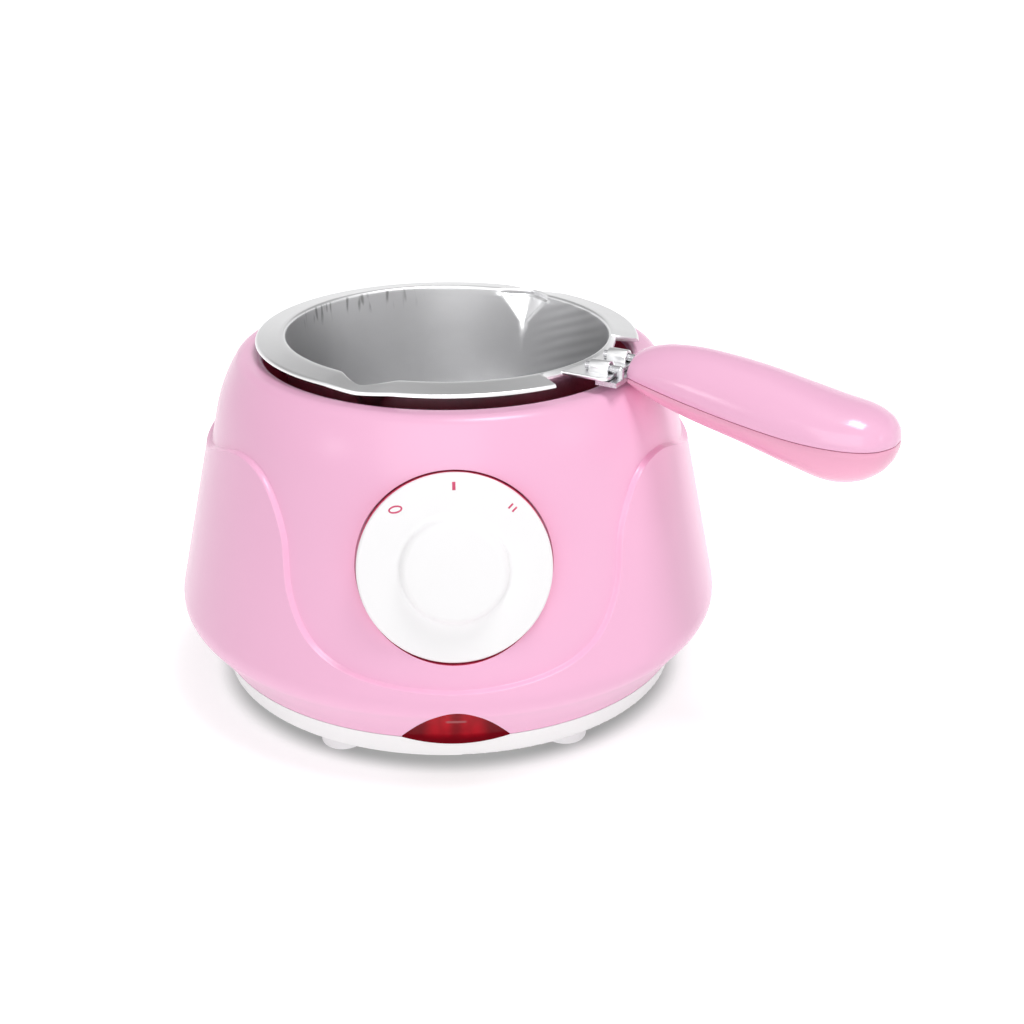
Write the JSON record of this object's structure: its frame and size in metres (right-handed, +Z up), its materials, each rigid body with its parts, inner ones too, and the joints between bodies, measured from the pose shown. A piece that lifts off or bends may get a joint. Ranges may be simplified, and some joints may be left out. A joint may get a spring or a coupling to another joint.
{
  "type": "electric melting pot",
  "caption": "Small electric melting pot: a lift-out metal pan with pouring lips and a push-on handle stands on a hot plate in a round moulded housing with a rotary dial and a lamp.",
  "frame": {"origin": "on the table, under the housing's upright axis", "axes": "+Z up, the dial faces -Y, +X to the right as seen from the dial's side"},
  "size_m": [0.2067, 0.17, 0.1175],
  "materials": {
    "pink_plastic": "gloss",
    "white_plastic": "satin",
    "foot_rubber": "matt",
    "bush_rubber": "matt",
    "pan_aluminium": "satin",
    "plate_aluminium": "satin",
    "steel": "plain",
    "brass": "plain",
    "mica": "matt",
    "dark_plastic": "matt",
    "red_lens": "gloss",
    "lamp_glass": "clear",
    "part_ceramic": "matt",
    "lead_insulation": "matt"
  },
  "bodies": {
    "base": {"housing": "pink_plastic", "base_pan": "white_plastic", "feet": "foot_rubber", "housing_screws": "steel", "well_liner": "pink_plastic", "liner_screws": "steel", "heating_plate": "plate_aluminium", "heating_element": "mica", "clamp_plate": "steel", "clamp_nut": "brass", "thermostat": "steel", "thermal_fuse": "part_ceramic", "fuse_clip": "steel", "heat_shield": "steel", "shield_screws": "steel", "switch_body": "dark_plastic", "switch_contacts": "brass", "switch_screws": "steel", "lamp_lens": "red_lens", "neon_lamp": "lamp_glass", "lamp_holder": "white_plastic", "ballast_resistor": "part_ceramic", "terminal_block": "white_plastic", "terminal_screws": "steel", "cord_bush": "bush_rubber", "cord_clamp": "white_plastic", "cord_clamp_screws": "steel", "internal_leads": "lead_insulation"},
    "dial": {"dial_knob": "white_plastic", "switch_shaft": "dark_plastic", "dial_clip": "steel"},
    "pan": {"pot": "pan_aluminium"},
    "handle": {"handle_bracket": "steel", "handle_upper_shell": "pink_plastic", "handle_lower_shell": "pink_plastic", "handle_screws": "steel"}
  },
  "joints": [
    {"name": "dial_turn", "type": "hinge", "parent": "base", "child": "dial", "pos_m": [0, -0.0762, 0.0658], "axis": [0, -0.9821, 0.1884], "range_deg": [-43, 43]},
    {"name": "pan_lift", "type": "slide", "parent": "base", "child": "pan", "axis": [0, 0, 1], "range_m": [0, 0.12]},
    {"name": "handle_pull", "type": "slide", "parent": "pan", "child": "handle", "axis": [0.8453, -0.5344, 0], "range_m": [0, 0.02]}
  ]
}
